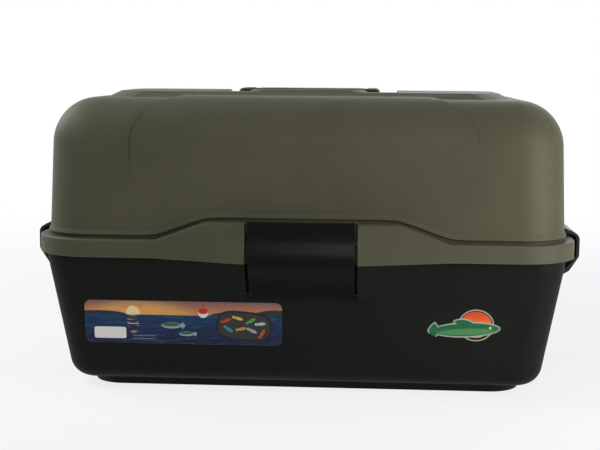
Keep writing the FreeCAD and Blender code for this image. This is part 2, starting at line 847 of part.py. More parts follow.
# Front latch
def make_front_latch():
    half = latch_width / 2
    top = ledge_top + boss_rise + latch_crest
    belly = Vector(0, -front_reach, latch_belly_height)
    waist = Vector(0, -front_reach + latch_waist_depth, latch_waist_height)
    lip = Vector(0, -front_reach, top)
    shoulder = Vector(0, -front_reach, latch_shoulder_height)
    root = Vector(0, latch_pivot_y - latch_eye_radius, latch_pivot_height)
    inward = Vector(0, latch_wall, 0)
    knee = Vector(0, root.y, (root.z + shoulder.z) / 2) + (shoulder - root) * latch_knee_share
    rise = Vector(0, 0, (waist.z - belly.z) * latch_bend_share)
    lip_rise = Vector(0, 0, (lip.z - waist.z) * latch_bend_share)
    bends = [
        [root, knee, shoulder, belly],
        [belly, belly + rise, waist - rise, waist],
        [waist, waist + lip_rise, lip - lip_rise, lip],
    ]
    edges = []
    for shift in (Vector(0, 0, 0), inward):
        for poles in bends:
            curve = Part.BezierCurve()
            curve.setPoles([pole + shift for pole in poles])
            edges.append(curve.toShape())
    edges.append(Part.makeLine(lip, lip + inward))
    edges.append(Part.makeLine(root, root + inward))
    pieces = [side_slab(-half, half, Part.__sortEdges__(edges))]
    pieces.append(rod_along_x(-half, half, latch_pivot_y, latch_pivot_height, latch_eye_radius))
    cheek_back = -skirt_depth / 2 - latch_cheek_gap
    cheek = [
        (latch_pivot_y - latch_eye_radius + latch_wall / 2, latch_pivot_height),
        (belly.y + latch_wall / 2, belly.z),
        (waist.y + latch_wall / 2, waist.z),
        (lip.y + latch_wall / 2, top),
        (cheek_back, top),
        (cheek_back, skirt_bottom - boss_dip),
        (latch_pivot_y, latch_pivot_height + latch_eye_radius),
    ]
    for side in SIDES:
        pieces.append(side_polygon_slab(end_of(side, half), end_of(side, half - latch_cheek), cheek))
    hook_bottom = latch_catch_height + latch_catch_thickness + latch_hook_gap
    hook_tip = -lid_half_depth - latch_catch_reach - latch_hook_gap
    pieces.append(block(
        -latch_catch_width / 2, latch_catch_width / 2, lip.y + latch_wall / 2, hook_tip,
        hook_bottom, hook_bottom + latch_hook_thickness))
    hole = rod_along_x(
        -half - overrun, half + overrun, latch_pivot_y, latch_pivot_height, latch_pin_radius + pin_play)
    return fused(pieces).cut(hole)


def make_latch_pin():
    half = latch_bay_half + latch_ear_width
    return rod_along_x(-half, half, latch_pivot_y, latch_pivot_height, latch_pin_radius)


# End clips
def make_end_clip(side):
    x, z = clip_pivot(side)
    sign = SIDES[side]
    half = clip_width / 2
    outside = skirt_length / 2 + clip_proud
    inside = outside - clip_wall
    plate_top = ledge_top + clip_plate_top_rise
    plate_low = plate_top - clip_plate_height
    inner_top = plate_top - clip_skirt_gap
    tip_x = base_half_length + clip_tip_clearance
    knee_x = tip_x + clip_knee_out
    eye = lid_half_length + clip_pivot_out
    profile = [
        (eye, z + clip_eye_radius),
        (skirt_length / 2 + clip_skirt_gap, ledge_top + clip_wall + clip_skirt_gap * 2),
        (outside, plate_top),
        (outside, plate_low),
        (knee_x + clip_wall, clip_knee_height - clip_wall / 2),
        (tip_x, clip_tip_height),
        (tip_x, clip_tip_height + clip_tip_rise),
        (knee_x, clip_knee_height + clip_wall / 2),
        (inside, plate_low),
        (inside, inner_top),
        (skirt_length / 2, ledge_top + clip_skirt_gap * 2),
        (eye, z),
    ]
    loop = [Vector(sign * px, -half, pz) for px, pz in profile]
    body = Part.Face(closed_wire(loop)).extrude(Vector(0, clip_width, 0))
    for corner_x, heights, radius in (
            (outside, (plate_top, plate_low), clip_bend_radius),
            (inside, (inner_top, plate_low), clip_bend_radius - clip_wall)):
        corners = []
        for z_place in heights:
            corners += edges_along_y(body, sign * corner_x, z_place)
        body = body.makeFillet(radius, corners)
    pieces = [body, rod_along_y(x, -half, half, z, clip_eye_radius)]
    rib = [
        (inside, plate_low + clip_wall),
        (inside + clip_wall / 2, plate_low),
        (knee_x + clip_wall / 2, clip_knee_height),
        (knee_x - clip_wall / 2, clip_knee_height + clip_wall),
        (skirt_length / 2 - clip_wall, skirt_bottom - clip_wall),
        (skirt_length / 2 + clip_skirt_gap, skirt_bottom),
    ]
    span = clip_width - clip_rib_end_inset * 2 - clip_rib_thickness
    for index in range(clip_rib_count):
        start = -half + clip_rib_end_inset + span * index / (clip_rib_count - 1)
        rib_loop = [Vector(sign * px, start, pz) for px, pz in rib]
        pieces.append(Part.Face(closed_wire(rib_loop)).extrude(Vector(0, clip_rib_thickness, 0)))
    body = fused(pieces)
    for place in (-clip_ear_place, clip_ear_place):
        room = clip_ear_width / 2 + clip_ear_gap
        low_x = end_of(side, lid_half_length - lid_wall)
        high_x = end_of(side, skirt_length / 2 - clip_wall / 2)
        body = body.cut(block(
            low_x, high_x, place - room, place + room, ledge_top, z + clip_eye_radius + clip_ear_gap))
    return body.cut(rod_along_y(x, -half - overrun, half + overrun, z, clip_pin_radius + pin_play))


def make_end_clip_pins():
    pins = []
    for side in SIDES:
        x, z = clip_pivot(side)
        pins.append(rod_along_y(x, -clip_width / 2, clip_width / 2, z, clip_pin_radius))
    return Part.makeCompound(pins)


# Hinge pins
def make_hinge_pins():
    pins = []
    for side in SIDES:
        middle = end_of(side, hinge_place)
        half = hinge_length / 2
        pins.append(rod_along_x(middle - half, middle + half, hinge_y, hinge_z, hinge_pin_radius))
    return Part.makeCompound(pins)


# Trays and dividers
def divider_places(name):
    """X of each divider, evenly spread along the tray."""
    count = divider_counts[name]
    inside = tray_length - tray_wall * 2
    return [-inside / 2 + inside * (index + 1) / (count + 1) for index in range(count)]


def tray_rows(name):
    """Y spans of the front and the rear row of a tray."""
    front = tray_fronts[name] + tray_wall
    rear = tray_fronts[name] + tray_depth - tray_wall
    middle = (front + rear) / 2
    return [(front, middle - tray_partition / 2), (middle + tray_partition / 2, rear)]


def tray_pivots(name):
    """Side view places of the rivets in one tray."""
    places = [arm_pivots[name], link_ends(name)[1]]
    order = TRAYS.index(name)
    if order + 1 < len(TRAYS):
        places.append(link_ends(TRAYS[order + 1])[0])
    return places


def make_tray(name):
    front = tray_fronts[name]
    bottom = tray_bottoms[name]
    top = bottom + tray_height
    middle_y = front + tray_depth / 2
    radius = tray_corner_radius
    half_x = tray_half_length
    half_y = tray_depth / 2
    outer = tapered_block(half_x, half_y, radius, 0, 0, 0, bottom, top, middle_y)
    inner = tapered_block(
        half_x - tray_wall, half_y - tray_wall, radius - tray_wall, 0, 0, 0,
        bottom + tray_floor, top + overrun, middle_y)
    body = outer.cut(inner)
    wall_top = top - tray_partition_drop
    pieces = [body, block(
        -half_x + tray_wall / 2, half_x - tray_wall / 2, middle_y - tray_partition / 2,
        middle_y + tray_partition / 2, bottom + tray_floor / 2, wall_top)]
    reach = divider_thickness / 2 + divider_play
    for x in divider_places(name):
        for row_front, row_rear in tray_rows(name):
            for sign in (-1, 1):
                rib_start = x + sign * reach
                rib_end = x + sign * (reach + slot_rib_width)
                pieces.append(block(
                    rib_start, rib_end, row_front - tray_partition / 2, row_front + slot_rib_depth,
                    bottom + tray_floor / 2, wall_top))
                pieces.append(block(
                    rib_start, rib_end, row_rear - slot_rib_depth, row_rear + tray_partition / 2,
                    bottom + tray_floor / 2, wall_top))
    for side in SIDES:
        for y, z in tray_pivots(name):
            pieces.append(rod_along_x(
                end_of(side, eye_face), end_of(side, eye_face - rivet_depth - tray_wall),
                y, z, tray_eye_radius))
    body = fused(pieces)
    holes = []
    for side in SIDES:
        for y, z in tray_pivots(name):
            holes.append(rod_along_x(
                end_of(side, eye_face), end_of(side, eye_face - rivet_depth), y, z, rivet_radius))
    return body.cut(fused(holes))


def make_dividers(name):
    bottom = tray_bottoms[name] + tray_floor
    top = tray_bottoms[name] + tray_height - divider_drop
    plates = []
    for x in divider_places(name):
        for row_front, row_rear in tray_rows(name):
            plates.append(block(
                x - divider_thickness / 2, x + divider_thickness / 2,
                row_front + divider_play, row_rear - divider_play, bottom, top))
    return Part.makeCompound(plates)


# Arms, links and rivets
def bar(x_start, x_end, start, end, width, eye_radius, holes):
    """Flat bar with round eyes between two side view places, with (place, radius) holes."""
    length_y = end[0] - start[0]
    length_z = end[1] - start[1]
    length = math.hypot(length_y, length_z)
    across_y = -length_z / length * width / 2
    across_z = length_y / length * width / 2
    outline = [
        side_point(start, across_y, across_z), side_point(end, across_y, across_z),
        side_point(end, -across_y, -across_z), side_point(start, -across_y, -across_z),
    ]
    pieces = [side_polygon_slab(x_start, x_end, outline)]
    for y, z in (start, end):
        pieces.append(rod_along_x(x_start, x_end, y, z, eye_radius))
    body = fused(pieces)
    for (y, z), radius in holes:
        body = body.cut(rod_along_x(x_start, x_end, y, z, radius))
    return body


def make_long_arm(side):
    running = rivet_radius + pivot_play
    holes = [(arm_root, running)]
    for name in TRAYS:
        holes.append((arm_pivots[name], running))
    return bar(
        end_of(side, arm_inner), end_of(side, arm_outer), arm_root, arm_pivots[TRAYS[-1]],
        arm_width, arm_width / 2, holes)


def make_short_link(name, side):
    start, end = link_ends(name)
    holes = [(start, rivet_radius + pivot_play), (end, rivet_radius + open_pivot_play)]
    return bar(
        end_of(side, arm_inner), end_of(side, arm_outer), start, end, link_width, link_width / 2, holes)


def make_lid_link(side):
    start = first_pivot
    end = lid_link_top
    holes = [(start, rivet_radius + pivot_play), (end, rivet_radius + open_pivot_play)]
    return bar(
        end_of(side, lid_link_inner), end_of(side, lid_link_outer), start, end,
        lid_link_width, lid_link_eye_radius, holes)


def rivet(side, place, seat, head):
    """Rivet from its seat to the near face of its head, both as distances from the middle."""
    y, z = place
    sign = 1 if head > seat else -1
    shank = rod_along_x(end_of(side, seat - sign * rivet_depth), end_of(side, head), y, z, rivet_radius)
    cap = rod_along_x(
        end_of(side, head), end_of(side, head + sign * rivet_head_thickness), y, z, rivet_head_radius)
    return shank.fuse(cap)


def make_tray_rivets(name):
    rivets = []
    for side in SIDES:
        for place in tray_pivots(name):
            head = head_inner
            if place == first_pivot:
                head = lid_ear_face
            rivets.append(rivet(side, place, eye_face, head))
    return Part.makeCompound(rivets)


def make_base_rivets():
    rivets = []
    for side in SIDES:
        for place in base_pivots():
            rivets.append(rivet(side, place, ear_face, arm_inner - link_side_gap))
    return Part.makeCompound(rivets)


def make_lid_rivets():
    rivets = []
    for side in SIDES:
        rivets.append(rivet(side, lid_link_top, lid_ear_face, lid_link_inner - link_side_gap))
    return Part.makeCompound(rivets)


# Stickers
def sticker(window):
    return base_outer(label_thickness).cut(base_outer()).common(window)


def make_front_label():
    half = label_length / 2
    window = block(
        label_place - half, label_place + half, -skirt_depth, 0, label_bottom, label_bottom + label_height)
    corners = [edge for edge in window.Edges if edge.BoundBox.YLength > skirt_depth / 2]
    return sticker(window.makeFillet(label_corner_radius, corners))


def make_front_badge():
    centre = Vector(badge_place, -skirt_depth, badge_middle_height)
    ellipse = Part.Ellipse(Vector(0, 0, 0), badge_length / 2, badge_height / 2).toShape()
    ellipse.rotate(Vector(0, 0, 0), Vector(1, 0, 0), 90)
    ellipse.translate(centre)
    window = Part.Face(Part.Wire([ellipse])).extrude(Vector(0, skirt_depth, 0))
    return sticker(window)


def main():
    os.makedirs("parts", exist_ok=True)
    write("base_tub", make_base_tub())
    write("front_label", make_front_label())
    write("front_badge", make_front_badge())
    write("hinge_pins", make_hinge_pins())
    write("latch_pin", make_latch_pin())
    write("base_rivets", make_base_rivets())
    write("lid_shell", make_lid_shell())
    write("handle_pins", make_handle_pins())
    write("end_clip_pins", make_end_clip_pins())
    write("lid_rivets", make_lid_rivets())
    write("carry_handle", make_carry_handle())
    write("front_latch", make_front_latch())
    for side in SIDES:
        write("end_clip_" + side, make_end_clip(side))
        write("long_arm_" + side, make_long_arm(side))
        write("lid_link_" + side, make_lid_link(side))
        for name in TRAYS:
            write(name + "_link_" + side, make_short_link(name, side))
    for name in TRAYS:
        write(name + "_tray", make_tray(name))
        write(name + "_tray_dividers", make_dividers(name))
        write(name + "_tray_rivets", make_tray_rivets(name))
    print("hinge", hinge_y, hinge_z, "arm root", arm_root, "lid link top", lid_link_top)
    print("arm pivots", arm_pivots, "links", {name: link_ends(name) for name in TRAYS})
    print("latch pivot", latch_pivot_y, latch_pivot_height, "clip pivot", clip_pivot("right"))
    print("handle pivot", handle_pivot_setback, handle_pivot_z)


main()
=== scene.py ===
# %% [markdown]
# # A fishing tackle cabinet in Blender
# The box is moulded from two plastics: an olive lid and a black base. Its solids
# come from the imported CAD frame, and this lesson gives them soft edges, one
# thin bead that the mould leaves on the lid, and grain, wear and print. The
# solids could be shown as they are, but knife edges and even colours are what
# gives a model away.

# %% Load the frame
import json
import math

import bmesh
import bpy
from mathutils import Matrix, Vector


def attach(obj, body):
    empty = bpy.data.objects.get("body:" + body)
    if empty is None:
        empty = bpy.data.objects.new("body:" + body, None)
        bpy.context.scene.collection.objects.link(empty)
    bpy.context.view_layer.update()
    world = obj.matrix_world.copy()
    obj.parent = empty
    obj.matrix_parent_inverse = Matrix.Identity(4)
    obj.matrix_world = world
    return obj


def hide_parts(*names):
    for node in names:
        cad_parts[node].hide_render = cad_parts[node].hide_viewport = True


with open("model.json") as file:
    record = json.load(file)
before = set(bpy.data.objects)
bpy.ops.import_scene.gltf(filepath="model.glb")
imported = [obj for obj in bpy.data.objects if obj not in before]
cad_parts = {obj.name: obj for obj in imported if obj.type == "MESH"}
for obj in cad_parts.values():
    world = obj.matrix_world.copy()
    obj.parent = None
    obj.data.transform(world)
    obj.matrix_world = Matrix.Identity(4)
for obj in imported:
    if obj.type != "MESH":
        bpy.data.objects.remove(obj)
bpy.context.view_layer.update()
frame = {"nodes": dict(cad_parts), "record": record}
MM = 0.001
print("pieces in the frame:", len(frame["nodes"]))


# %% [markdown]
# ## Plain helpers
# Everything is deselected before an operator runs, because an operator acts on
# all that is selected. A finished piece has its transform applied, so its
# object sits at the origin and its place is in its mesh.

# %% Helpers for selecting and finishing
def only(piece):
    bpy.ops.object.select_all(action="DESELECT")
    piece.select_set(True)
    bpy.context.view_layer.objects.active = piece


def place_in_mesh(piece):
    only(piece)
    bpy.ops.object.transform_apply(location=True, rotation=True, scale=True)


def dress(piece, material):
    piece.data.materials.clear()
    piece.data.materials.append(material)


def apply_all(piece):
    only(piece)
    for modifier in list(piece.modifiers):
        bpy.ops.object.modifier_apply(modifier=modifier.name)


# %% [markdown]
# ## Shared effects
# Every moulded piece has a fine grain, slow changes of tone, rubbed edges and a
# little dust. These could be built again in each material. Here each effect is
# one node group that is placed in every material with its own values, so that
# a change to it reaches them all. A group gives out only masks and heights, and
# the Principled shader itself stays in the material.

# %% Helpers for node groups and nodes
def new_group(name, inputs, outputs):
    group = bpy.data.node_groups.new(name, "ShaderNodeTree")
    for label, value in inputs.items():
        socket = group.interface.new_socket(label, in_out="INPUT", socket_type="NodeSocketFloat")
        socket.default_value = value
    for label in outputs:
        group.interface.new_socket(label, in_out="OUTPUT", socket_type="NodeSocketFloat")
    return group, group.nodes.new("NodeGroupInput"), group.nodes.new("NodeGroupOutput")


def node(tree, kind, **values):
    made = tree.nodes.new(kind)
    for key, value in values.items():
        setattr(made, key, value)
    return made


def feed(tree, value, socket):
    """Puts a number or the output of another node into a socket."""
    if isinstance(value, bpy.types.NodeSocket):
        tree.links.new(value, socket)
    else:
        socket.default_value = value


def math_node(tree, operation, *values):
    made = node(tree, "ShaderNodeMath", operation=operation)
    for value, socket in zip(values, made.inputs):
        feed(tree, value, socket)
    return made.outputs[0]


def step_between(tree, value, low, high):
    """A soft step from 0 at low to 1 at high."""
    made = node(tree, "ShaderNodeMapRange", interpolation_type="SMOOTHSTEP")
    feed(tree, value, made.inputs["Value"])
    made.inputs["From Min"].default_value = low
    made.inputs["From Max"].default_value = high
    return made.outputs["Result"]


# %% Helpers for places and noise
def object_place(tree):
    """The place of a point on its own piece, in metres."""
    return node(tree, "ShaderNodeTexCoord").outputs["Object"]


def along_axes(tree, place):
    """The X, Y and Z of a place, as three outputs."""
    made = node(tree, "ShaderNodeSeparateXYZ")
    feed(tree, place, made.inputs[0])
    return made.outputs


def stretched(tree, place, scales):
    """A place with each axis multiplied by a number of its own."""
    made = node(tree, "ShaderNodeVectorMath", operation="MULTIPLY")
    feed(tree, place, made.inputs[0])
    made.inputs[1].default_value = scales
    return made.outputs[0]


def noise(tree, place, scale, **values):
    """Cloudy noise from 0 to 1; values are further inputs of the texture."""
    made = node(tree, "ShaderNodeTexNoise")
    feed(tree, place, made.inputs["Vector"])
    feed(tree, scale, made.inputs["Scale"])
    for key, value in values.items():
        made.inputs[key].default_value = value
    return made.outputs["Fac"]


# %% [markdown]
# ## Grain and slow changes of tone
# A steel mould is etched or sparked to a fine matte grain, and the colour of the
# plastic drifts a little from place to place. An image could carry both, but it
# would have to be laid over every piece. Noise and rounded cells on the
# piece's own place need no image, and their height feeds a Bump node later.

# %% The grain group
grain_group, grain_in, grain_out = new_group(
    "Moulded grain", {"Grain per metre": 1400.0, "Mottle per metre": 9.0}, ["Height", "Mottle"])
grain_place = object_place(grain_group)
fine = noise(grain_group, grain_place, grain_in.outputs["Grain per metre"], Detail=3.0)
cells = node(grain_group, "ShaderNodeTexVoronoi", feature="SMOOTH_F1")
feed(grain_group, grain_place, cells.inputs["Vector"])
feed(grain_group, grain_in.outputs["Grain per metre"], cells.inputs["Scale"])
slow = noise(grain_group, grain_place, grain_in.outputs["Mottle per metre"], Detail=4.0, Roughness=0.62)
grain_height = math_node(grain_group, "MULTIPLY_ADD", cells.outputs["Distance"], 0.8, fine)
feed(grain_group, grain_height, grain_out.inputs["Height"])
feed(grain_group, step_between(grain_group, slow, 0.3, 0.7), grain_out.inputs["Mottle"])

# %% [markdown]
# ## Rubbed edges
# Edges that are handled or knocked turn paler, in patches. They could be painted
# by hand. Here the normal of a Bevel node is set against the real one: where
# the two differ, an edge is near, and noise breaks the line into patches.

# %% The rubbed-edge group
rub_group, rub_in, rub_out = new_group("Rubbed edges", {"Edge width": 0.0012}, ["Mask"])
rounded = node(rub_group, "ShaderNodeBevel", samples=4)
feed(rub_group, rub_in.outputs["Edge width"], rounded.inputs["Radius"])
meeting = node(rub_group, "ShaderNodeVectorMath", operation="DOT_PRODUCT")
feed(rub_group, rounded.outputs["Normal"], meeting.inputs[0])
feed(rub_group, node(rub_group, "ShaderNodeNewGeometry").outputs["Normal"], meeting.inputs[1])
difference = math_node(rub_group, "SUBTRACT", 1.0, meeting.outputs["Value"])
edge_amount = step_between(rub_group, difference, 0.01, 0.16)
patches = noise(rub_group, object_place(rub_group), 35.0, Detail=5.0)
patch_amount = step_between(rub_group, patches, 0.35, 0.65)
feed(rub_group, math_node(rub_group, "MULTIPLY", edge_amount, patch_amount), rub_out.inputs["Mask"])

# %% [markdown]
# ## Dust on what faces up
# A box in a shed gathers dust on its upper faces. The Z of the normal tells
# which faces these are, and noise leaves some of them cleaner.

# %% The dust group
dust_group, dust_in, dust_out = new_group("Settled dust", {"Patches per metre": 14.0}, ["Mask"])
facing = along_axes(dust_group, node(dust_group, "ShaderNodeNewGeometry").outputs["Normal"])
upward = step_between(dust_group, facing["Z"], 0.2, 0.95)
dust_noise = noise(
    dust_group, object_place(dust_group), dust_in.outputs["Patches per metre"], Detail=6.0)
dust_amount = step_between(dust_group, dust_noise, 0.25, 0.8)
feed(dust_group, math_node(dust_group, "MULTIPLY", upward, dust_amount), dust_out.inputs["Mask"])

# %% [markdown]
# ## Short scuffs
# Use leaves short, thin marks that lie much the same way. Noise that is turned
# and then squeezed along two axes gives streaks. A second, wide noise keeps
# them to some places, as real scuffs are.

# %% The scuff group
scuff_group, scuff_in, scuff_out = new_group("Short scuffs", {"Turn": 0.5, "Threshold": 0.7}, ["Mask"])
scuff_place = object_place(scuff_group)
scuff_turn = node(scuff_group, "ShaderNodeVectorRotate", rotation_type="Y_AXIS")
feed(scuff_group, scuff_place, scuff_turn.inputs["Vector"])
feed(scuff_group, scuff_in.outputs["Turn"], scuff_turn.inputs["Angle"])
squeezed = stretched(scuff_group, scuff_turn.outputs[0], (900.0, 90.0, 75.0))
streaks = noise(scuff_group, squeezed, 1.0, Detail=1.0)
zones = noise(scuff_group, scuff_place, 16.0)
streak_amount = math_node(scuff_group, "SUBTRACT", streaks, scuff_in.outputs["Threshold"])
streak_mask = step_between(scuff_group, streak_amount, 0.0, 0.05)
zone_mask = step_between(scuff_group, zones, 0.55, 0.65)
feed(scuff_group, math_node(scuff_group, "MULTIPLY", streak_mask, zone_mask), scuff_out.inputs["Mask"])

# %% [markdown]
# ## Shade and dirt in narrow gaps
# Where two pieces meet, little light gets in and dirt stays, so the colour is
# painted darker there: painted shade with a little dirt. The Ambient Occlusion
# node measures how shut in a point is, within a few millimetres.

# %% The gap group
# Painted shade: this mask darkens the colour in narrow gaps and creases, where shade falls, with a
# little dirt.
gap_group, gap_in, gap_out = new_group("Painted shade and dirt in gaps", {"Reach": 0.006}, ["Mask"])
closeness = node(gap_group, "ShaderNodeAmbientOcclusion", samples=6)
feed(gap_group, gap_in.outputs["Reach"], closeness.inputs["Distance"])
hidden = math_node(gap_group, "SUBTRACT", 1.0, closeness.outputs["AO"])
feed(gap_group, step_between(gap_group, hidden, 0.10, 0.70), gap_out.inputs["Mask"])
print("effects:", [group.name for group in bpy.data.node_groups])


# %% [markdown]
# ## The moulded plastics
# Polypropylene comes out of the mould with a fine matte grain. The colour is
# uneven by a few percent, edges that are handled turn paler, and what faces up
# holds dust. One function places the effects with each plastic's own values,
# so all plastics stay of one family and each is one short call.

# %% Starting a material and mixing its colours
# A Mix node has sockets for numbers, vectors and colours. These are the ones for colours.
MIX_MASK, MIX_UNDER, MIX_OVER, MIX_RESULT = 0, 6, 7, 2


def mix_colour(tree, mask, under, over):
    """The colour under where the mask is 0, and the colour over where it is 1."""
    made = node(tree, "ShaderNodeMix", data_type="RGBA")
    for index, value in ((MIX_MASK, mask), (MIX_UNDER, under), (MIX_OVER, over)):
        feed(tree, (*value, 1.0) if isinstance(value, tuple) else value, made.inputs[index])
    return made.outputs[MIX_RESULT]


def place_group(tree, group, **values):
    made = node(tree, "ShaderNodeGroup", node_tree=group)
    for key, value in values.items():
        made.inputs[key.replace("_", " ")].default_value = value
    return made


def start_material(name):
    material = bpy.data.materials.new(name)
    material.use_nodes = True
    tree = material.node_tree
    return material, tree, tree.nodes["Principled BSDF"]


def add_relief(tree, shader, height, depth):
    """A fine relief in the shading, from a height; depth is in metres."""
    relief = node(tree, "ShaderNodeBump")
    relief.inputs["Strength"].default_value = 1.0
    relief.inputs["Distance"].default_value = depth
    feed(tree, height, relief.inputs["Height"])
    feed(tree, relief.outputs["Normal"], shader.inputs["Normal"])


# %% One function for every moulded plastic
DUST_COLOUR = (0.20, 0.19, 0.16)
SPECKLE_SHARE = 0.3
RUBBED_SHARE = 0.55
# How far the painted shade and dirt in gaps darken the colour.
GAP_SHADE_AND_DIRT_DARKNESS = 0.25
MOTTLE_ROUGHNESS = 0.07
DUST_ROUGHNESS = 0.2


def moulded_plastic(name, dark, light, rub, roughness, grain, bump, dust, scuffs, specular, gap_shade_and_dirt=0.5):
    """dark and light are the two ends of the tone, rub is the colour of worn edges."""
    material, tree, shader = start_material(name)
    skin = place_group(tree, grain_group, Grain_per_metre=grain).outputs
    edge_mask = place_group(tree, rub_group).outputs["Mask"]
    dust_mask = math_node(tree, "MULTIPLY", place_group(tree, dust_group).outputs["Mask"], dust)
    scuff_mask = math_node(tree, "MULTIPLY", place_group(tree, scuff_group).outputs["Mask"], scuffs)
    gap_shade_and_dirt_mask = math_node(tree, "MULTIPLY", place_group(tree, gap_group).outputs["Mask"], gap_shade_and_dirt)
    speckle = step_between(tree, skin["Height"], 0.55, 1.25)
    colour = mix_colour(tree, skin["Mottle"], dark, light)
    colour = mix_colour(tree, math_node(tree, "MULTIPLY", speckle, SPECKLE_SHARE), colour, light)
    colour = mix_colour(tree, math_node(tree, "MULTIPLY", edge_mask, RUBBED_SHARE), colour, rub)
    colour = mix_colour(tree, dust_mask, colour, DUST_COLOUR)
    colour = mix_colour(tree, scuff_mask, colour, rub)
    # Painted shade with a little dirt: the colour darkens in narrow gaps and creases.
    colour = mix_colour(tree, gap_shade_and_dirt_mask, colour, tuple(part * GAP_SHADE_AND_DIRT_DARKNESS for part in dark))
    feed(tree, colour, shader.inputs["Base Color"])
    rough = math_node(tree, "MULTIPLY_ADD", skin["Mottle"], MOTTLE_ROUGHNESS, roughness)
    rough = math_node(tree, "MULTIPLY_ADD", dust_mask, DUST_ROUGHNESS, rough)
    feed(tree, rough, shader.inputs["Roughness"])
    shader.inputs["Specular IOR Level"].default_value = specular
    add_relief(tree, shader, skin["Height"], bump)
    return material


# %% The plastics of the outside
# The olive lid gets strong painted shade in its gaps and grooves.
olive = moulded_plastic(
    "olive_lid_plastic", (0.061, 0.0615, 0.0370), (0.078, 0.0785, 0.0470), (0.19, 0.185, 0.13),
    roughness=0.52, grain=1500.0, bump=0.00006, dust=0.10, scuffs=0.4, specular=0.22, gap_shade_and_dirt=0.9)
black = moulded_plastic(
    "black_base_plastic", (0.0066, 0.0080, 0.0072), (0.0092, 0.0108, 0.0096), (0.035, 0.035, 0.032),
    roughness=0.55, grain=1300.0, bump=0.00006, dust=0.06, scuffs=0.1, specular=0.08)
# Painted shade: the latch's black is well darker than the base's, standing in for the shade on its
# front.
shaded_latch_black = moulded_plastic(
    "black_latch_plastic_with_painted_shade", (0.0026, 0.0029, 0.0025), (0.0036, 0.0040, 0.0034), (0.030, 0.030, 0.028),
    roughness=0.22, grain=1800.0, bump=0.00001, dust=0.02, scuffs=0.1, specular=0.07)
handle_black = moulded_plastic(
    "black_handle_plastic", (0.009, 0.009, 0.0085), (0.013, 0.013, 0.012), (0.05, 0.05, 0.045),
    roughness=0.45, grain=1600.0, bump=0.00004, dust=0.1, scuffs=0.2, specular=0.15)
clip_black = moulded_plastic(
    "black_clip_plastic", (0.009, 0.009, 0.0085), (0.013, 0.013, 0.012), (0.05, 0.05, 0.045),
    roughness=0.42, grain=1600.0, bump=0.00004, dust=0.08, scuffs=0.15, specular=0.2)

# %% The plastics of the inside
tray_grey = moulded_plastic(
    "charcoal_tray_plastic", (0.030, 0.031, 0.030), (0.040, 0.041, 0.039), (0.11, 0.11, 0.10),
    roughness=0.42, grain=1500.0, bump=0.00004, dust=0.12, scuffs=0.3, specular=0.4)
divider_grey = moulded_plastic(
    "charcoal_divider_plastic", (0.036, 0.037, 0.036), (0.047, 0.048, 0.046), (0.12, 0.12, 0.11),
    roughness=0.44, grain=1500.0, bump=0.00004, dust=0.1, scuffs=0.3, specular=0.4)
arm_black = moulded_plastic(
    "black_arm_plastic", (0.014, 0.014, 0.0135), (0.020, 0.020, 0.019), (0.07, 0.07, 0.065),
    roughness=0.38, grain=1700.0, bump=0.00003, dust=0.05, scuffs=0.4, specular=0.4)


# %% [markdown]
# ## Steel pins, plated and blackened
# The pins and rivets are cold-headed steel with a thin zinc plating. Their
# brightness comes from Metallic, and fine noise breaks up the reflection. The
# pins that show from outside are blackened, so that no bright dot stands beside
# the black pieces. Both are one function, because only tone and gloss differ.

# %% Steel for pins and rivets
THIN_RELIEF = 0.00003


def pin_steel(name, dark, light, roughness, change):
    """roughness is that of the glossiest places, and change is what the dullest add."""
    material, tree, shader = start_material(name)
    skin = place_group(tree, grain_group, Grain_per_metre=900.0, Mottle_per_metre=60.0).outputs
    feed(tree, mix_colour(tree, skin["Mottle"], dark, light), shader.inputs["Base Color"])
    rough = math_node(tree, "MULTIPLY_ADD", skin["Mottle"], change, roughness)
    feed(tree, rough, shader.inputs["Roughness"])
    shader.inputs["Metallic"].default_value = 1.0
    add_relief(tree, shader, skin["Height"], THIN_RELIEF)
    return material


steel = pin_steel("plated_steel", (0.42, 0.42, 0.43), (0.60, 0.60, 0.61), 0.28, 0.18)
dark_steel = pin_steel("blackened_steel", (0.010, 0.010, 0.011), (0.022, 0.022, 0.023), 0.45, 0.15)
print("materials:", [material.name for material in bpy.data.materials])


# %% [markdown]
# ## Two printed stickers
# A wide sticker and a small oval one sit on the front of the base. Each print
# could be an image, but here it is built from plain shapes on the piece's own X
# and Z, which stay sharp at any size. A shape with a power of 2 is an ellipse,
# with 1 a diamond, and with more a rounded rectangle.

# %% A shape of ink
ink_values = {
    "Middle X": 0.0, "Middle Z": 0.0, "Half X": 0.01, "Half Z": 0.01,
    "Power": 2.0, "Turn": 0.0, "Edge": 0.06}
ink_group, ink_in, ink_out = new_group("Shape of ink", ink_values, ["Mask"])
ink_place = along_axes(ink_group, object_place(ink_group))
across = math_node(ink_group, "SUBTRACT", ink_place["X"], ink_in.outputs["Middle X"])
above = math_node(ink_group, "SUBTRACT", ink_place["Z"], ink_in.outputs["Middle Z"])
cosine = math_node(ink_group, "COSINE", ink_in.outputs["Turn"])
sine = math_node(ink_group, "SINE", ink_in.outputs["Turn"])
turned_across = math_node(
    ink_group, "MULTIPLY_ADD", across, cosine, math_node(ink_group, "MULTIPLY", above, sine))
turned_above = math_node(
    ink_group, "SUBTRACT", math_node(ink_group, "MULTIPLY", above, cosine),
    math_node(ink_group, "MULTIPLY", across, sine))
shares = []
for part, half in ((turned_across, "Half X"), (turned_above, "Half Z")):
    share = math_node(ink_group, "DIVIDE", part, ink_in.outputs[half])
    share = math_node(ink_group, "ABSOLUTE", share)
    shares.append(math_node(ink_group, "POWER", share, ink_in.outputs["Power"]))
spread = math_node(ink_group, "ADD", *shares)
room_left = math_node(ink_group, "SUBTRACT", 1.0, spread)
room_left = math_node(ink_group, "DIVIDE", room_left, ink_in.outputs["Edge"])
feed(ink_group, step_between(ink_group, room_left, -1.0, 1.0), ink_out.inputs["Mask"])


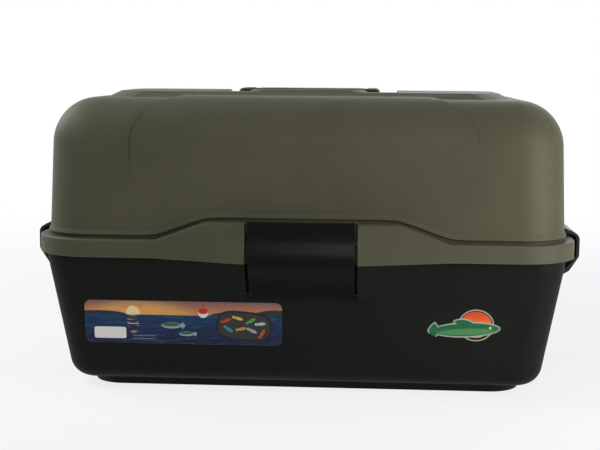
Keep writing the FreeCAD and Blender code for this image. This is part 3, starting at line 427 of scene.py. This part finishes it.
# %% Laying ink and finishing the film
def ink(tree, colour, over, middle, half, power=2.0, turn=0.0, edge=0.12, within=None, strength=1.0):
    """Lays one shape of ink over a colour; places are in millimetres."""
    shape = place_group(
        tree, ink_group, Middle_X=middle[0] * MM, Middle_Z=middle[1] * MM,
        Half_X=half[0] * MM, Half_Z=half[1] * MM, Power=power, Turn=math.radians(turn), Edge=edge)
    mask = math_node(tree, "MULTIPLY", shape.outputs["Mask"], strength)
    if within is not None:
        mask = math_node(tree, "MULTIPLY", mask, within)
    return mix_colour(tree, mask, colour, over)


def film_finish(tree, shader, colour, roughness, wear, specular):
    """A thin plastic film: a soft gloss, a faint unevenness and rubbed rims."""
    skin = place_group(tree, grain_group, Grain_per_metre=500.0, Mottle_per_metre=30.0).outputs
    rims = place_group(tree, rub_group, Edge_width=0.0006)
    rim_mask = math_node(tree, "MULTIPLY", rims.outputs["Mask"], wear)
    feed(tree, mix_colour(tree, rim_mask, colour, (0.45, 0.45, 0.44)), shader.inputs["Base Color"])
    rough = math_node(tree, "MULTIPLY_ADD", skin["Mottle"], 0.12, roughness)
    feed(tree, rough, shader.inputs["Roughness"])
    shader.inputs["Specular IOR Level"].default_value = specular
    add_relief(tree, shader, skin["Height"], THIN_RELIEF)


# %% [markdown]
# ## The print of the wide sticker
# The wide sticker carries a plain scene of its own: a lake at dusk with low
# hills, and on it lures, two small fish, a float and a blank white panel. The
# water and the sky are smooth steps of colour up the piece's Z, and one
# stretched noise gives the water its ripples and the sky its clouds.

# %% The lake at dusk
HORIZON = 74.0
WATER_FOOT = 46.0
SKY_TOP = 88.0
SUN_X = -158
lake_print, tree, lake_shader = start_material("label_print_film")
place = object_place(tree)
up_the_print = along_axes(tree, place)["Z"]
ripples = noise(tree, stretched(tree, place, (55.0, 1.0, 420.0)), 1.0, Detail=4.0, Distortion=0.6)

depth = step_between(tree, up_the_print, WATER_FOOT * MM, HORIZON * MM)
water = mix_colour(tree, depth, (0.010, 0.011, 0.050), (0.008, 0.036, 0.110))
ripple_mask = math_node(tree, "MULTIPLY", step_between(tree, ripples, 0.48, 0.72), 0.55)
water = mix_colour(tree, ripple_mask, water, (0.030, 0.105, 0.200))

height = step_between(tree, up_the_print, HORIZON * MM, SKY_TOP * MM)
dusk = mix_colour(tree, height, (0.62, 0.24, 0.11), (0.24, 0.13, 0.12))
dusk = ink(tree, dusk, (0.85, 0.46, 0.13), (-152, HORIZON), (44, 12), edge=0.9, strength=0.85)
clouds = math_node(tree, "MULTIPLY", step_between(tree, ripples, 0.5, 0.75), 0.4)
dusk = mix_colour(tree, clouds, dusk, (0.42, 0.17, 0.15))
dusk = ink(tree, dusk, (0.95, 0.80, 0.42), (SUN_X, HORIZON + 2), (6.5, 6.5), edge=0.2)
for hill_x, hill_half, hill_height in ((-24, 22, 6.5), (-56, 30, 4.2), (-190, 26, 3.6)):
    dusk = ink(
        tree, dusk, (0.020, 0.030, 0.038), (hill_x, HORIZON), (hill_half, hill_height), edge=0.15)

is_sky = step_between(tree, up_the_print, (HORIZON - 0.25) * MM, (HORIZON + 0.25) * MM)
colour = mix_colour(tree, is_sky, water, dusk)
glint = step_between(tree, ripples, 0.5, 0.56)
colour = ink(tree, colour, (0.85, 0.50, 0.22), (SUN_X, HORIZON - 8), (5, 9), edge=0.6, within=glint)

# %% Lures on a dark mat
MAT_MIDDLE = (-54, 64.5)
LURE_HALF = (4.2, 1.5)
TAIL_HALF = (1.4, 1.6)
TAIL_REACH = 4.8
lures = (
    (-70, 70, 20, (0.55, 0.06, 0.03)), (-59, 72, -15, (0.62, 0.50, 0.08)),
    (-47, 70, 30, (0.08, 0.35, 0.10)), (-38, 67, 5, (0.55, 0.55, 0.50)),
    (-68, 61, -35, (0.05, 0.28, 0.38)), (-56, 62, 12, (0.60, 0.26, 0.05)),
    (-46, 60, -25, (0.40, 0.42, 0.40)), (-37, 58, 60, (0.50, 0.08, 0.05)))
for half, tint in (((26, 14.5), (0.012, 0.013, 0.014)), ((24, 12.4), (0.035, 0.037, 0.038))):
    colour = ink(tree, colour, tint, MAT_MIDDLE, half, power=3.2, turn=-5, edge=0.08)
for x, z, turn, tint in lures:
    swing = math.radians(turn)
    tail = (x - TAIL_REACH * math.cos(swing), z - TAIL_REACH * math.sin(swing))
    colour = ink(tree, colour, tint, (x, z), LURE_HALF, turn=turn, edge=0.25)
    colour = ink(tree, colour, tint, tail, TAIL_HALF, power=1.2, turn=turn, edge=0.25)

# %% Small fish, a float and a blank panel
FISH_SILVER = (0.30, 0.42, 0.40)
FLOAT_X = -92
FLOAT_RED = (0.55, 0.035, 0.03)
for x, z, size in ((-122, 64, 1.0), (-108, 56.0, 0.75)):
    tail = (x + 10.5 * size, z)
    back = (x - 0.5 * size, z + 0.9 * size)
    colour = ink(tree, colour, FISH_SILVER, (x, z), (9.5 * size, 3.1 * size), edge=0.15)
    colour = ink(tree, colour, FISH_SILVER, tail, (2.6 * size, 3.2 * size), power=1.1, edge=0.2)
    colour = ink(tree, colour, (0.04, 0.14, 0.09), back, (8.2 * size, 1.9 * size), edge=0.2)
colour = ink(tree, colour, (0.82, 0.82, 0.80), (FLOAT_X, 76.5), (4.6, 4.6), edge=0.1)
colour = ink(tree, colour, FLOAT_RED, (FLOAT_X, 78.4), (4.4, 2.8), power=2.4, edge=0.12)
colour = ink(tree, colour, FLOAT_RED, (FLOAT_X, 83.4), (0.6, 2.6), power=4, edge=0.2)
colour = ink(tree, colour, (0.86, 0.86, 0.85), (-180, 56.0), (15, 5.6), power=12, edge=0.2)
for z in (50.5, 53.5):
    colour = ink(
        tree, colour, (0.20, 0.30, 0.42), (-148, z), (11, 0.45), power=4, edge=0.3, strength=0.7)
film_finish(tree, lake_shader, colour, roughness=0.30, wear=0.4, specular=0.2)

# %% [markdown]
# ## The print of the oval sticker
# The small sticker shows a green fish before a low red sun. Its ground is
# printed as dark as the base, so only the pale rims stand out from it. Each
# rim is the same shape laid first a little larger, which is quicker than a line
# that follows the outline.

# %% The fish and the low sun
SUN_MIDDLE = (160, 69.9)
RIM = (0.42, 0.46, 0.42)
FISH_GREEN = (0.020, 0.150, 0.062)
fish_print, tree, fish_shader = start_material("badge_print_film")
place = object_place(tree)
low_sun = step_between(tree, along_axes(tree, place)["Z"], 62.0 * MM, 82.0 * MM)
sun_colour = mix_colour(tree, low_sun, (0.80, 0.34, 0.08), (0.72, 0.075, 0.03))
ground = noise(tree, place, 60.0)
colour = mix_colour(tree, ground, (0.0072, 0.0086, 0.0078), (0.0088, 0.0102, 0.0092))
colour = ink(tree, colour, RIM, SUN_MIDDLE, (16.4, 15.2), edge=0.06)
colour = ink(tree, colour, (0.010, 0.011, 0.010), SUN_MIDDLE, (15.4, 14.2), edge=0.06)
colour = ink(tree, colour, sun_colour, (160, 70.6), (14.2, 12.6), edge=0.06)
for x, half_height, turn in ((151, 6.5, 6), (154, 5.0, -9), (169, 5.6, 8)):
    colour = ink(tree, colour, (0.012, 0.014, 0.011), (x, 67), (0.8, half_height), turn=turn, edge=0.3)
for grow, tint in ((1.2, RIM), (0.0, FISH_GREEN)):
    body, tail, fin = (30 + grow, 6.2 + grow), (4.6 + grow, 7.4 + grow), (9 + grow, 3.0 + grow)
    colour = ink(tree, colour, tint, (151, 65.5), body, turn=3, edge=0.08)
    colour = ink(tree, colour, tint, (121.5, 64.0), tail, power=1.3, turn=-6, edge=0.1)
    colour = ink(tree, colour, tint, (149, 72), fin, power=1.6, turn=-8, edge=0.15)
colour = ink(tree, colour, (0.10, 0.30, 0.12), (151, 63.6), (25, 3.0), turn=3, edge=0.5, strength=0.8)
colour = ink(tree, colour, (0.60, 0.62, 0.55), (173, 67.6), (1.2, 1.2), edge=0.2)
film_finish(tree, fish_shader, colour, roughness=0.50, wear=0.05, specular=0.1)
print("prints:", lake_print.name, fish_print.name)


# %% [markdown]
# ## Soft edges on the moulded pieces
# A mould leaves no knife edges. The pieces could be modelled again with rounded
# edges, but they would drift from the CAD. Instead a copy of the CAD mesh, which
# is loose triangles, is merged, its flat faces are joined again, and a Bevel
# modifier rounds the sharp edges. A Weighted Normal modifier then keeps the
# wide faces evenly shaded. The copy stands for the CAD node, which keeps its
# own mesh for the physics.

# %% Soft-edged copies of the CAD nodes
SHARP_FROM = math.radians(28)
SMOOTH_UP_TO = math.radians(25)
bodies = frame["record"]["behaviour"]["bodies"]
body_of = {name: body for body, names in bodies.items() for name in names}


def merged_copy(name):
    source = frame["nodes"][name]
    piece = bpy.data.objects.new(name + "_soft", source.data.copy())
    bpy.context.scene.collection.objects.link(piece)
    only(piece)
    bpy.ops.object.mode_set(mode="EDIT")
    bpy.ops.mesh.select_all(action="SELECT")
    bpy.ops.mesh.customdata_custom_splitnormals_clear()
    bpy.ops.mesh.remove_doubles(threshold=0.02 * MM)
    bpy.ops.mesh.dissolve_limited(angle_limit=math.radians(0.4))
    bpy.ops.object.mode_set(mode="OBJECT")
    return piece


def soften(piece, width):
    edges = piece.modifiers.new("Soft edges", "BEVEL")
    edges.width = width
    edges.segments = 2
    edges.limit_method = "ANGLE"
    edges.angle_limit = SHARP_FROM
    edges.harden_normals = False
    edges.use_clamp_overlap = True
    apply_all(piece)
    bpy.ops.object.shade_smooth_by_angle(angle=SMOOTH_UP_TO)
    shading = piece.modifiers.new("Even shading", "WEIGHTED_NORMAL")
    shading.keep_sharp = True
    shading.weight = 60
    apply_all(piece)


def stand_for(piece, name, material):
    dress(piece, material)
    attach(piece, body_of[name])
    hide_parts(name)
    print(piece.name, len(piece.data.polygons), "faces")


def soft_copy(name, width, material):
    piece = merged_copy(name)
    soften(piece, width)
    stand_for(piece, name, material)
    return piece


# %% [markdown]
# ## The lid
# The olive lid ends in a skirt that grips over the base, and a boss rises from
# the skirt in the middle of the front. Their upper edges are rounder than all
# others. A second Bevel modifier would need marked edges, so these edges are
# picked in code, by their place and by how they turn, and bevelled in edit
# mode before the rest is softened.

# %% Finding the upper edges of the skirt and boss
LEDGE = 146.5 * MM
BOSS_TOP = 163.8 * MM
BOSS_HALF = 135.0 * MM
BOSS_FLAT_HALF = 88.0 * MM
SKIRT_HALF = (252.0 * MM, 135.0 * MM)
SKIRT_CORNER = 55.0 * MM
HEIGHT_ROOM = 0.1 * MM
BOSS_ROOM = 0.05 * MM
WALL_ROOM = 0.2 * MM
CORNER_ROOM = 0.3 * MM


def on_skirt_rim(point):
    """True on the outer top edge of the skirt or of the front boss."""
    if point.z < LEDGE - HEIGHT_ROOM or point.z > BOSS_TOP + HEIGHT_ROOM:
        return False
    if point.z > LEDGE + HEIGHT_ROOM:
        return point.y < -SKIRT_HALF[1] - BOSS_ROOM
    reach_x = abs(point.x) - (SKIRT_HALF[0] - SKIRT_CORNER)
    reach_y = abs(point.y) - (SKIRT_HALF[1] - SKIRT_CORNER)
    if reach_x > 0 and reach_y > 0:
        return math.hypot(reach_x, reach_y) > SKIRT_CORNER - CORNER_ROOM
    return reach_x > SKIRT_CORNER - WALL_ROOM or reach_y > SKIRT_CORNER - WALL_ROOM


# %% Rounding them, then the rest of the lid
STEEP_BELOW = 0.2
FLAT_ABOVE = 0.3


def round_skirt_rim(piece, width):
    only(piece)
    bpy.ops.object.mode_set(mode="EDIT")
    bpy.ops.mesh.select_mode(type="EDGE")
    bpy.ops.mesh.select_all(action="DESELECT")
    mesh = bmesh.from_edit_mesh(piece.data)
    count = 0
    for edge in mesh.edges:
        if len(edge.link_faces) != 2 or not edge.is_convex:
            continue
        lifts = sorted(face.normal.z for face in edge.link_faces)
        turned_up = lifts[0] < STEEP_BELOW and lifts[1] > FLAT_ABOVE
        if turned_up and all(on_skirt_rim(vertex.co) for vertex in edge.verts):
            edge.select_set(True)
            count += 1
    bmesh.update_edit_mesh(piece.data)
    bpy.ops.mesh.bevel(offset=width, segments=4, clamp_overlap=True)
    bpy.ops.object.mode_set(mode="OBJECT")
    print("rounded rim edges:", count)


lid = merged_copy("lid_shell")
round_skirt_rim(lid, 2.0 * MM)
soften(lid, 0.7 * MM)
stand_for(lid, "lid_shell", olive)

# %% [markdown]
# ## The base and the latch
# The black base is a tub with a boss in front, and a wide latch stands in the
# boss with a dark gap on each side. In the solids that gap is so thin that it
# hardly shows from the camera. The latch could be scaled as an object, but a
# finished piece stays unscaled, so the copy's mesh is narrowed about the middle
# in edit mode.

# %% The base, and the latch a little narrower
LATCH_SHARE = 0.972
soft_copy("base_tub", 0.8 * MM, black)
latch = soft_copy("front_latch", 0.8 * MM, shaded_latch_black)
half_before = max(vertex.co.x for vertex in latch.data.vertices)
only(latch)
bpy.ops.object.mode_set(mode="EDIT")
bpy.ops.mesh.select_all(action="SELECT")
bpy.ops.transform.resize(value=(LATCH_SHARE, 1, 1), center_override=(0, 0, 0))
bpy.ops.object.mode_set(mode="OBJECT")
half_after = max(vertex.co.x for vertex in latch.data.vertices)
print("latch drawn in on each side by", round(half_before - half_after, 4), "m")

# %% [markdown]
# ## The handle and the end clips
# The handle and the clips are thinner mouldings than the shells. They get a
# smaller rounding, so that it never eats a wall.

# %% The handle and the end clips
soft_copy("carry_handle", 0.6 * MM, handle_black)
for side in ("left", "right"):
    soft_copy("end_clip_" + side, 0.5 * MM, clip_black)

# %% [markdown]
# ## Trays, dividers, arms and links
# Three trays ride on flat moulded arms and short links. They are many and
# alike, so loops over their names make the soft copies.

# %% The pieces inside
for tray in ("lower", "middle", "upper"):
    soft_copy(tray + "_tray", 0.4 * MM, tray_grey)
    soft_copy(tray + "_tray_dividers", 0.3 * MM, divider_grey)
    for side in ("left", "right"):
        soft_copy(tray + "_link_" + side, 0.4 * MM, arm_black)
for side in ("left", "right"):
    soft_copy("long_arm_" + side, 0.4 * MM, arm_black)
    soft_copy("lid_link_" + side, 0.4 * MM, arm_black)


# %% [markdown]
# ## The bead above the skirt
# A thin half-round bead runs a few millimetres above the skirt. It follows the
# boss, goes round the front corners and fades out before the end clips. It
# could be a curve with a round profile, but a small circle that is extruded
# along the path in edit mode lets its upper side be drawn out flush into the
# wall, as on the real lid. The circle goes from the middle along the wall, is
# spun round the corner, and is mirrored.

# %% The bead's path on the front wall
LID_HALF = (242.5 * MM, 125.5 * MM)
LID_CORNER = 44.0 * MM
LID_FRONT_SLOPE = math.tan(math.radians(3.0))
BOSS_SOFTNESS = 1.6 * MM
BEAD_RADIUS = 1.6 * MM
BEAD_GAP = 3.7 * MM
BEAD_STEPS = 46


def wall_y(z):
    """Y of the lid's front wall at this height."""
    return -LID_HALF[1] + (z - LEDGE) * LID_FRONT_SLOPE


def soft_ramp(value):
    """Zero for low values and the value itself for high ones, with a rounded change."""
    return BOSS_SOFTNESS * math.log(1 + math.exp(max(min(value / BOSS_SOFTNESS, 40.0), -40.0)))


def boss_edge(x):
    """Height of the boss's upper edge at this distance from the middle."""
    rise = BOSS_TOP - LEDGE
    slant = rise * (BOSS_HALF - x) / (BOSS_HALF - BOSS_FLAT_HALF)
    return LEDGE + rise - soft_ramp(rise - soft_ramp(slant))


path = []
for step in range(BEAD_STEPS + 1):
    x = (LID_HALF[0] - LID_CORNER) * step / BEAD_STEPS
    z = boss_edge(x) + BEAD_GAP
    path.append(Vector((x, wall_y(z), z)))
print("bead path from", tuple(round(v, 4) for v in path[0]), "to", tuple(round(v, 4) for v in path[-1]))

# %% The circle, with its top drawn out into the wall
TOP_OF_CIRCLE = 0.8 * BEAD_RADIUS
DRAWN_OUT = (0.0, 0.5 * BEAD_RADIUS, 1.6 * BEAD_RADIUS)
bpy.ops.object.select_all(action="DESELECT")
bpy.ops.mesh.primitive_circle_add(
    vertices=12, radius=BEAD_RADIUS, location=path[0], rotation=(0, math.radians(90), 0))
bead = bpy.context.object
bead.name = "skirt_bead"
place_in_mesh(bead)
bpy.ops.object.mode_set(mode="EDIT")
bpy.ops.mesh.select_all(action="DESELECT")
bpy.ops.object.mode_set(mode="OBJECT")
for vertex in bead.data.vertices:
    vertex.select = vertex.co.z > path[0].z + TOP_OF_CIRCLE
bpy.ops.object.mode_set(mode="EDIT")
bpy.ops.transform.translate(value=DRAWN_OUT)

# %% Along the wall, round the corner and out
FADE_STEP = (-0.2 * MM, 4.0 * MM, 0)
bpy.ops.mesh.select_all(action="SELECT")
for start, end in zip(path, path[1:]):
    bpy.ops.mesh.extrude_region_move(TRANSFORM_OT_translate={"value": end - start})
corner = Vector((LID_HALF[0] - LID_CORNER, path[-1].y + LID_CORNER, path[-1].z))
bpy.ops.mesh.spin(steps=12, angle=math.radians(-90), center=corner, axis=(0, 0, 1))
for fade in (0.75, 0.45, 0.15):
    bpy.ops.mesh.extrude_region_move(TRANSFORM_OT_translate={"value": FADE_STEP})
    bpy.ops.transform.resize(value=(fade, 1, fade))
bpy.ops.mesh.select_all(action="SELECT")
bpy.ops.object.mode_set(mode="OBJECT")

# %% Mirrored, closed and dressed
copies = bead.modifiers.new("Other side", "MIRROR")
copies.use_axis[0] = True
copies.merge_threshold = 0.01 * MM
apply_all(bead)
bpy.ops.object.mode_set(mode="EDIT")
bpy.ops.mesh.select_all(action="SELECT")
bpy.ops.mesh.fill_holes(sides=12)
bpy.ops.mesh.normals_make_consistent(inside=False)
bpy.ops.object.mode_set(mode="OBJECT")
bpy.ops.object.shade_smooth_by_angle(angle=math.radians(40))
dress(bead, olive)
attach(bead, "lid")
points = [vertex.co for vertex in bead.data.vertices]
print("bead:", len(bead.data.polygons), "faces")
for word, pick in (("from", min), ("to", max)):
    print(word, [round(pick(point[axis] for point in points), 4) for axis in range(3)])


# %% [markdown]
# ## Pins and stickers
# The pins, rivets and stickers are shown as the CAD made them: a pin has small
# true edges, and a sticker is a plain thin plate, so a soft copy would add
# nothing. They only need their materials.

# %% CAD nodes that stay as they are
finishes = {
    "front_label": lake_print, "front_badge": fish_print,
    "latch_pin": dark_steel, "end_clip_pins": dark_steel, "handle_pins": dark_steel}
for name, cad_node in frame["nodes"].items():
    if not cad_node.hide_render:
        dress(cad_node, finishes.get(name, steel))
        print(name, "in", cad_node.data.materials[0].name)


# %% [markdown]
# ## The floor
# The box stands on a wide floor like white paper. Bright lamps could make it
# white, but they would also bleach the box. Instead the floor glows, only for
# rays that see it, and fully from 1.5 metres out. Nearer to the box a share of
# it stays plain paper, which keeps the shadow. For all other rays the whole
# floor is paper, so it gives no light of its own.

# %% Floor
PAPER_SHARE = 0.2
PAPER_UP_TO = 0.3
GLOW_FROM = 1.5


def seen_itself(tree):
    """1 for rays that see a surface: from the camera, in a reflection or through glass."""
    rays = node(tree, "ShaderNodeLightPath").outputs
    seen = math_node(tree, "MAXIMUM", rays["Is Camera Ray"], rays["Is Glossy Ray"])
    return math_node(tree, "MAXIMUM", seen, rays["Is Transmission Ray"])


bpy.ops.object.select_all(action="DESELECT")
bpy.ops.mesh.primitive_plane_add(size=14.0, location=(0, 0, 0))
floor = bpy.context.object
floor.name = "floor"
floor_paper, floor_tree, floor_shader = start_material("pale_floor")
floor_shader.inputs["Base Color"].default_value = (0.86, 0.86, 0.86, 1.0)
floor_shader.inputs["Roughness"].default_value = 1.0
floor_shader.inputs["Specular IOR Level"].default_value = 0.0
from_box = node(floor_tree, "ShaderNodeVectorMath", operation="LENGTH")
feed(floor_tree, object_place(floor_tree), from_box.inputs[0])
far_off = step_between(floor_tree, from_box.outputs["Value"], PAPER_UP_TO, GLOW_FROM)
glow_share = math_node(floor_tree, "MULTIPLY_ADD", far_off, PAPER_SHARE, 1.0 - PAPER_SHARE)
glow_share = math_node(floor_tree, "MULTIPLY", seen_itself(floor_tree), glow_share)
glow = node(floor_tree, "ShaderNodeEmission")
glow.inputs["Color"].default_value = (1.0, 1.0, 1.0, 1.0)
floor_mix = node(floor_tree, "ShaderNodeMixShader")
for output, socket in zip((glow_share, floor_shader.outputs[0], glow.outputs[0]), floor_mix.inputs):
    feed(floor_tree, output, socket)
feed(floor_tree, floor_mix.outputs[0], floor_tree.nodes["Material Output"].inputs[0])
dress(floor, floor_paper)
print("floor:", tuple(round(side, 1) for side in floor.dimensions), "m")

# %% [markdown]
# ## The world
# The backdrop is white, but a white world would wash the box out. So the world
# is white only to rays that see it, and gives the box a dim, cool light.

# %% World
ROOM_LIGHT = 0.06
world = bpy.context.scene.world or bpy.data.worlds.new("studio")
bpy.context.scene.world = world
world.use_nodes = True
sky = world.node_tree
sky.nodes.clear()
room = node(sky, "ShaderNodeBackground")
room.inputs["Color"].default_value = (0.95, 0.97, 1.0, 1.0)
room.inputs["Strength"].default_value = ROOM_LIGHT
white = node(sky, "ShaderNodeBackground")
white.inputs["Color"].default_value = (1.0, 1.0, 1.0, 1.0)
white.inputs["Strength"].default_value = 1.0
sky_mix = node(sky, "ShaderNodeMixShader")
for output, socket in zip((seen_itself(sky), room.outputs[0], white.outputs[0]), sky_mix.inputs):
    feed(sky, output, socket)
feed(sky, sky_mix.outputs[0], node(sky, "ShaderNodeOutputWorld").inputs[0])
print("room light:", ROOM_LIGHT)

# %% [markdown]
# ## The lamps
# A window to the right and paler light from the left model the front, as in
# the room where such a box stands. Wide area lamps give soft shadows, where
# spots or a sun would cut hard ones. Each row holds where a lamp stands, where
# it aims, its width and height, its power in watts and its colour.

# %% Lamps
NEUTRAL = (1.0, 1.0, 1.0)
lamps = {
    "window_right": ((0.62, -0.42, 0.30), (0.1, -0.1, 0.18), (0.3, 0.3), 2.4, (1.0, 0.945, 0.87)),
    "window_low": ((0.62, -0.5, 0.16), (0.1, -0.1, 0.16), (0.3, 0.3), 1.1, (1.0, 0.955, 0.89)),
    "front_card": ((0.10, -1.6, 0.5), (0.0, -0.1, 0.15), (0.2, 0.12), 2.4, NEUTRAL),
    "ceiling": ((0.2, -0.2, 1.9), (0.0, 0.0, 0.2), (1.6, 1.2), 2.5, NEUTRAL),
    "left_high": ((-0.8, -0.1, 1.3), (-0.2, 0.0, 0.25), (0.4, 0.4), 2.2, NEUTRAL),
    "left_near": ((-0.62, -0.22, 0.62), (-0.23, -0.08, 0.24), (0.15, 0.15), 1.2, NEUTRAL),
    "left_back": ((-1.1, 0.5, 0.8), (-0.15, 0.0, 0.2), (0.6, 0.6), 6.0, (0.95, 0.98, 1.0)),
    "back_fill": ((0.6, 1.8, 0.9), (0.0, 0.0, 0.15), (1.2, 1.2), 8.0, NEUTRAL)}
for name, (stand, aim, (width, height), power, colour) in lamps.items():
    bpy.ops.object.light_add(type="AREA", location=stand)
    lamp = bpy.context.object
    lamp.name = name
    lamp.data.shape = "RECTANGLE"
    lamp.data.size = width
    lamp.data.size_y = height
    lamp.data.energy = power
    lamp.data.color = colour
    lamp.rotation_euler = (Vector(aim) - Vector(stand)).to_track_quat("-Z", "Y").to_euler()
print("lamps:", ", ".join(lamps))

# %% [markdown]
# ## The camera
# The camera stands where a fit to the photograph put it, so that render and
# photograph can be laid over each other. Its turn is built from the direction
# of view and the roll, which is easier to read than three Euler angles.

# %% Camera
CAMERA_PLACE = (0.0654331, -1.2169066, 0.3045352)
YAW, PITCH, ROLL = -0.0617379, 0.1301013, 0.0073387
FOCAL_IN_PIXELS = 1212.6
PHOTO_WIDTH = 600.0
SENSOR_WIDTH = 36.0
camera_data = bpy.data.cameras.new("camera")
camera_data.sensor_width = SENSOR_WIDTH
camera_data.lens = FOCAL_IN_PIXELS * SENSOR_WIDTH / PHOTO_WIDTH
camera = bpy.data.objects.new("camera", camera_data)
bpy.context.scene.collection.objects.link(camera)
forward = Vector((math.sin(YAW) * math.cos(PITCH), math.cos(YAW) * math.cos(PITCH), -math.sin(PITCH)))
level = Vector((math.cos(YAW), -math.sin(YAW), 0.0))
right = level * math.cos(ROLL) + level.cross(forward) * math.sin(ROLL)
turned = camera.matrix_world.to_3x3()
turned.col[0], turned.col[1], turned.col[2] = right, right.cross(forward), -forward
camera.matrix_world = turned.to_4x4()
camera.location = CAMERA_PLACE
bpy.context.scene.camera = camera
bpy.context.scene.view_settings.view_transform = "Standard"
print("lens:", round(camera_data.lens, 2), "mm")
